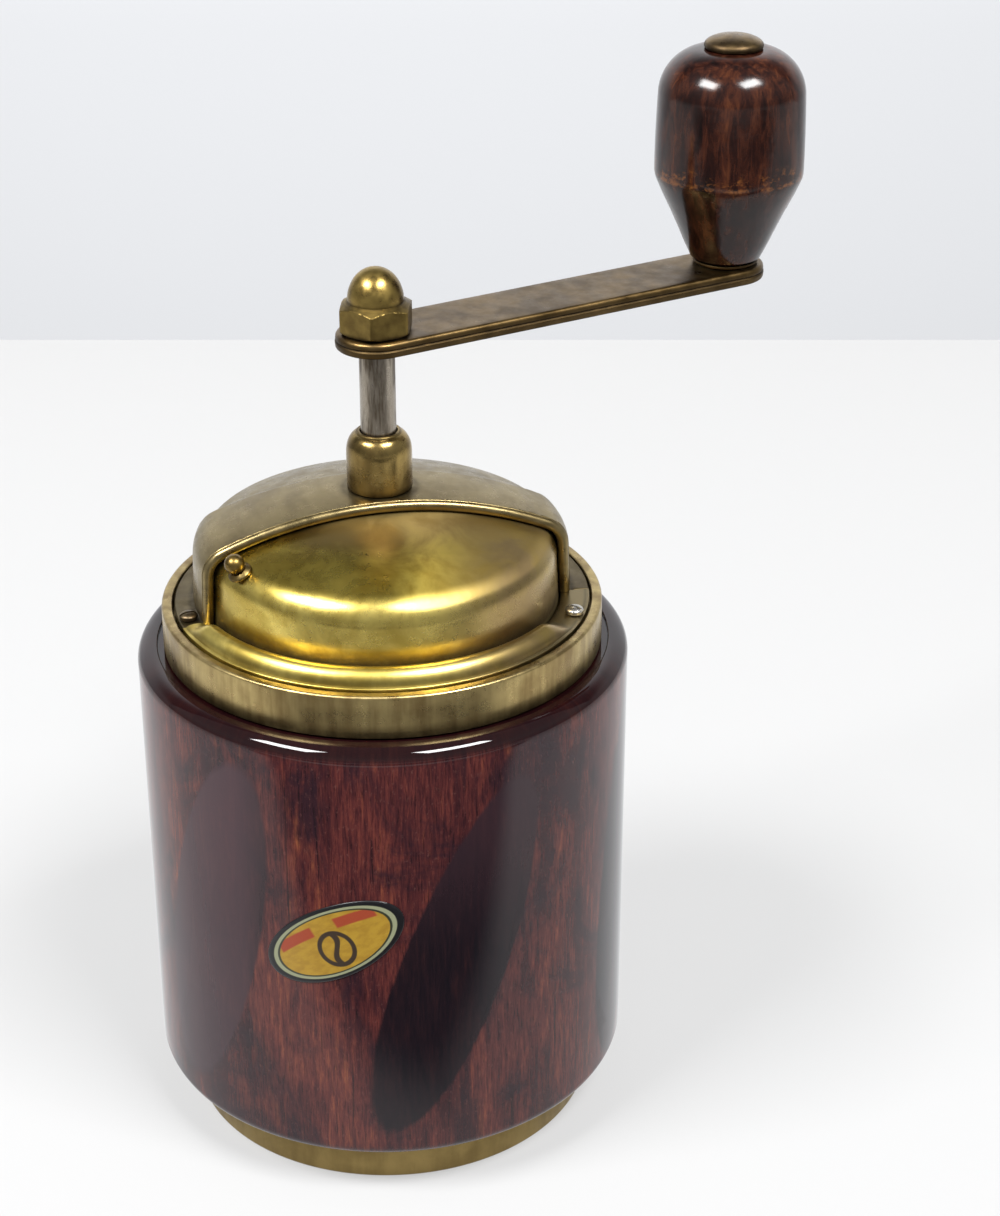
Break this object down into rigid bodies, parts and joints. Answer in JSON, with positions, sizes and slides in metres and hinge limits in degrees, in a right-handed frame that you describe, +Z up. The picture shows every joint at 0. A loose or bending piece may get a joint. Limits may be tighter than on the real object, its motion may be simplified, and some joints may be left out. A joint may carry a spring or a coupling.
{
  "type": "manual coffee grinder",
  "caption": "Hand-cranked table coffee mill: a round wooden cup on a brass foot, a brass head with a domed hopper and swinging door, a conical burr mill and a crank with a wooden knob.",
  "frame": {"origin": "on the shaft's axis, on the face of the felt pad that the mill stands on", "axes": "+Z up along the shaft, -Y towards the front where the hopper's door is, +X to the right seen from the front"},
  "size_m": [0.1267, 0.095, 0.2008],
  "materials": {
    "lacquered_wood": "high gloss lacquer over red-brown wood with darker laminated ovals",
    "knob_wood": "gloss lacquer",
    "aged_brass": "antiqued, satin",
    "bright_brass": "antiqued, polished where it rubs",
    "dark_brass": "dark antique",
    "steel": "turned",
    "cast_iron": "as cast, painted dark",
    "felt": "felt",
    "label_foil": null
  },
  "bodies": {
    "cup": {"wood_body": "lacquered_wood", "foot_ring": "aged_brass", "felt_pad": "felt", "foot_screw_1": "steel", "foot_screw_2": "steel", "foot_screw_3": "steel", "label": "label_foil"},
    "head": {"collar": "aged_brass", "top_plate": "dark_brass", "front_sill": "bright_brass", "dome_cover": "aged_brass", "flange_screw_left": "steel", "flange_screw_right": "steel", "flange_screw_rear": "steel", "shaft_bush": "dark_brass", "bush_spacer": "dark_brass", "door_washer": "steel", "bush_nut": "steel", "mill_housing": "cast_iron", "housing_screw_1": "steel", "housing_screw_2": "steel", "housing_screw_3": "steel", "lower_bush": "aged_brass", "ring_burr": "steel", "grub_screw_1": "steel", "grub_screw_2": "steel", "grub_screw_3": "steel"},
    "crank": {"shaft": "steel", "crank_arm": "dark_brass", "cap_nut": "bright_brass", "knob_screw": "aged_brass", "knob_washer": "dark_brass", "shaft_clip": "steel", "spring_seat": "steel", "burr_spring": "steel"},
    "knob": {"crank_knob": "knob_wood"},
    "door": {"hopper_door": "bright_brass", "door_knob": "dark_brass", "door_knob_washer": "dark_brass"},
    "inner_burr": {"cone_burr": "steel", "click_plate": "steel"},
    "adjuster": {"adjusting_nut": "aged_brass"}
  },
  "joints": [
    {"name": "head_lift", "type": "slide", "parent": "cup", "child": "head", "axis": [0, 0, 1], "range_m": [0, 0.06]},
    {"name": "crank_turn", "type": "hinge", "parent": "head", "child": "crank", "pos_m": [0, 0, 0.15], "axis": [0, 0, 1], "continuous": true},
    {"name": "knob_spin", "type": "hinge", "parent": "crank", "child": "knob", "pos_m": [0.06679, 0.03455, 0.178], "axis": [0, 0, 1], "continuous": true},
    {"name": "door_swing", "type": "hinge", "parent": "head", "child": "door", "pos_m": [0, 0, 0.12], "axis": [0, 0, 1], "range_deg": [0, 115]},
    {"name": "burr_gap", "type": "slide", "parent": "crank", "child": "inner_burr", "axis": [0, 0, -1], "range_m": [0, 0.0008], "deforming": ["burr_spring"]},
    {"name": "adjuster_turn", "type": "hinge", "parent": "inner_burr", "child": "adjuster", "pos_m": [0, 0, 0.062], "axis": [0, 0, -1], "range_deg": [0, 360]}
  ],
  "couplings": [
    {"joint": "burr_gap", "follows": "adjuster_turn", "m_per_rad": 0.000127}
  ]
}
